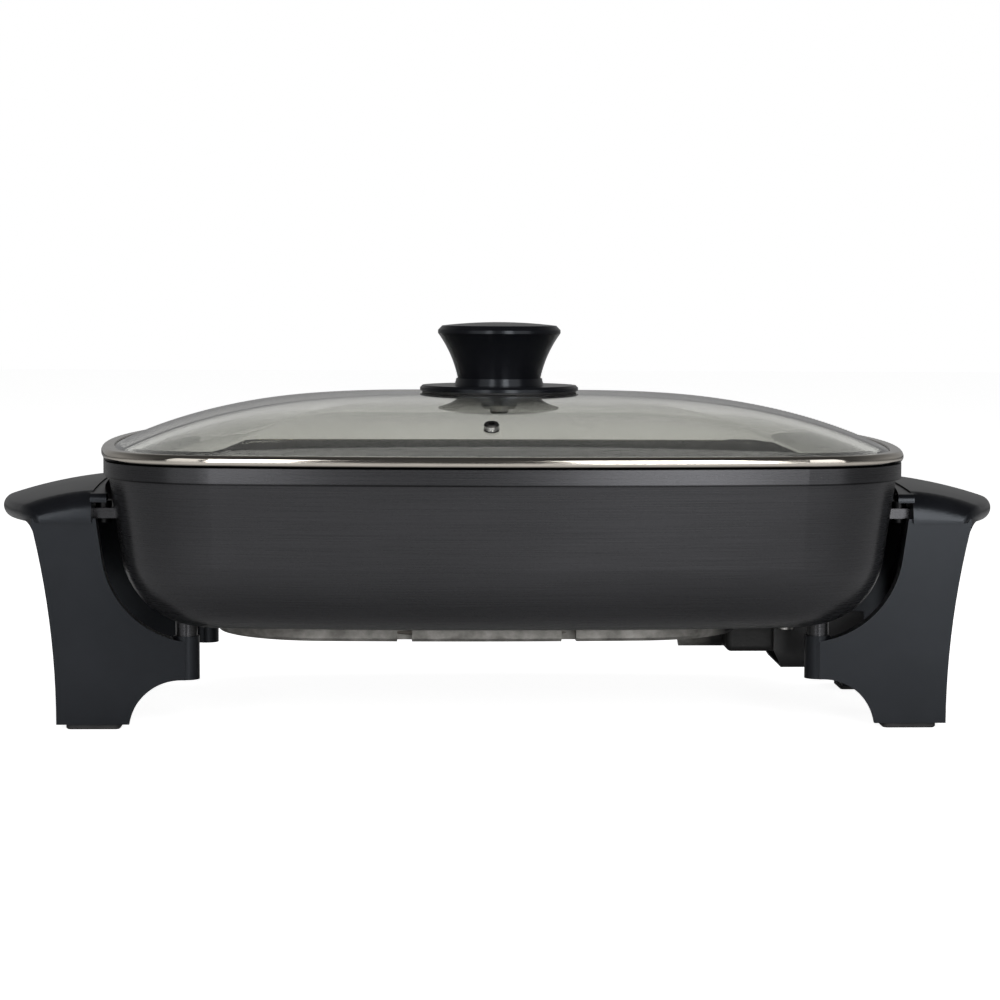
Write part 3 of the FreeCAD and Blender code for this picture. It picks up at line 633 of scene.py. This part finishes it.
def domeRings():
    # Rings of points from the knob's hole outwards over the top, and back underneath
    low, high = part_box("lid_glass")
    edge = low.z + dome["edgeHeight"]
    shares = [(step + 1) / dome["rings"] for step in range(dome["rings"])]

    def ring(inset, share, z):
        return [(spot.x * share, spot.y * share, z) for spot in outline(inset)]

    def hole(z):
        return [(*(spot.normalized() * dome["hole"]), z) for spot in outline(0.0)]

    def height(share):
        return edge + (high.z - edge) * (1 - share ** dome["power"])

    rings = [hole(high.z)]
    rings += [ring(dome["domeInset"], share, height(share)) for share in shares]
    rings += [ring(dome["edgeInset"], 1.0, edge), ring(dome["edgeInset"], 1.0, low.z)]
    inner = dome["domeInset"] + dome["thickness"] / 2
    rings += [ring(inner, share, height(share) - dome["thickness"]) for share in reversed(shares)]
    rings.append(hole(high.z - dome["thickness"]))
    return rings


def makeDome():
    mesh = bpy.data.meshes.new("glass_dome")
    build = bmesh.new()
    rings = [[build.verts.new(spot) for spot in ring] for ring in domeRings()]
    for inner, outer in zip(rings, rings[1:] + rings[:1]):
        for place in range(len(inner)):
            before = place - 1
            build.faces.new((inner[before], outer[before], outer[place], inner[place]))
    bmesh.ops.recalc_face_normals(build, faces=build.faces)
    build.to_mesh(mesh)
    build.free()
    piece = bpy.data.objects.new("glass_dome", mesh)
    bpy.context.scene.collection.objects.link(piece)
    piece.data.materials.append(temperedGlass)
    return piece


def cutVent(piece):
    low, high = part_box("vent_eyelet")
    bpy.ops.object.select_all(action="DESELECT")
    bpy.ops.mesh.primitive_cylinder_add(
        vertices=dome["ventSides"],
        radius=dome["ventHole"],
        depth=dome["cutLength"],
        location=(low + high) / 2,
        rotation=(math.radians(dome["ventTilt"]), 0, 0),
    )
    cutter = bpy.context.object
    bpy.ops.object.select_all(action="DESELECT")
    piece.select_set(True)
    bpy.context.view_layer.objects.active = piece
    bpy.ops.object.modifier_add(type="BOOLEAN")
    cut = piece.modifiers[-1]
    cut.operation = "DIFFERENCE"
    cut.object = cutter
    bpy.ops.object.modifier_apply(modifier=cut.name)
    bpy.ops.object.shade_smooth_by_angle(angle=math.radians(dome["smooth"]))
    bpy.data.objects.remove(cutter)


glassDome = makeDome()
cutVent(glassDome)
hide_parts("lid_glass")
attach(glassDome, "lid")
print("glass dome made")

# Floor, world and lamps

studio = {
    "floorSize": 12.0,
    "floorColour": (0.8, 0.8, 0.8, 1),
    "floorRoughness": 0.75,
    "floorGlow": 0.9,                # for rays that come from the camera or through the glass
    "white": (1.0, 1.0, 1.0, 1),
    "black": (0.0, 0.0, 0.0, 1),
    "darkLevel": 0.05,               # the dark end of the room, behind the camera and overhead
    "sweepLevel": 0.28,              # the pale sweep behind the skillet
    "sweepStart": (-0.35, 0.5),      # it comes up between these directions along Y
    "sweepTop": (0.25, 0.8),         # and fades out between these heights
    "lamps": {
        "topSoftbox": {"size": (1.5, 1.0), "at": (0.0, 0.15, 1.5), "aimHeight": 0.1, "power": 8.0},
        "leftSoftbox": {"size": (0.42, 1.9), "at": (-0.75, -1.92, 0.97), "aimHeight": 0.97, "power": 12.0},
        "leftWing": {"size": (1.0, 1.9), "at": (-1.45, -1.5, 0.97), "aimHeight": 0.97, "power": 6.0},
        "rightSoftbox": {"size": (0.56, 1.9), "at": (0.57, -2.0, 0.97), "aimHeight": 0.97, "power": 24.0},
        "rightWing": {"size": (1.0, 1.9), "at": (1.42, -1.5, 0.97), "aimHeight": 0.97, "power": 9.0},
    },
}


def seenRays(tree):
    # 1 for rays that come from the camera or through the glass
    path = tree.nodes.new("ShaderNodeLightPath")
    seen = Value(tree, path.outputs["Is Camera Ray"]) + Value(tree, path.outputs["Is Transmission Ray"])
    return seen > 0.5


def makeFloor():
    bpy.ops.object.select_all(action="DESELECT")
    bpy.ops.mesh.primitive_plane_add(size=studio["floorSize"], location=(0, 0, 0))
    floor = bpy.context.object
    floor.name = "floor"
    make = Finish("floorWhite")
    make.finish(
        Base_Color=studio["floorColour"],
        Roughness=studio["floorRoughness"] + make.noise(40.0, 3.0, 0.5) * 0.1,
        Emission_Color=make.blend(seenRays(make.tree), studio["black"], studio["white"]),
        Emission_Strength=studio["floorGlow"],
    )
    floor.data.materials.append(make.material)


def worldRamp(tree, socket, low, high):
    node = tree.nodes.new("ShaderNodeMapRange")
    node.inputs["From Min"].default_value = low
    node.inputs["From Max"].default_value = high
    tree.links.new(socket, node.inputs["Value"])
    return Value(tree, node.outputs[0])


def makeWorld():
    world = bpy.data.worlds.new("studio")
    bpy.context.scene.world = world
    world.use_nodes = True
    tree = world.node_tree
    background = tree.nodes["Background"]
    background.inputs["Color"].default_value = studio["white"]
    sides = tree.nodes.new("ShaderNodeSeparateXYZ")
    tree.links.new(tree.nodes.new("ShaderNodeTexCoord").outputs["Generated"], sides.inputs[0])
    behind = worldRamp(tree, sides.outputs["Y"], *studio["sweepStart"])
    low = 1.0 - worldRamp(tree, sides.outputs["Z"], *studio["sweepTop"])
    lit = behind * low * (studio["sweepLevel"] - studio["darkLevel"]) + studio["darkLevel"]
    strength = seenRays(tree) * (1.0 - lit) + lit
    tree.links.new(strength.socket, background.inputs["Strength"])


def makeLamps():
    for name, lamp in studio["lamps"].items():
        bpy.ops.object.light_add(type="AREA", location=lamp["at"])
        light = bpy.context.object
        light.name = name
        light.data.shape = "RECTANGLE"
        light.data.size, light.data.size_y = lamp["size"]
        light.data.energy = lamp["power"]
        light.visible_camera = False
        light.visible_glossy = name != "topSoftbox"
        direction = Vector((0.0, 0.0, lamp["aimHeight"])) - Vector(lamp["at"])
        light.rotation_euler = direction.to_track_quat("-Z", "Y").to_euler()


makeFloor()
makeWorld()
makeLamps()
print("studio made")
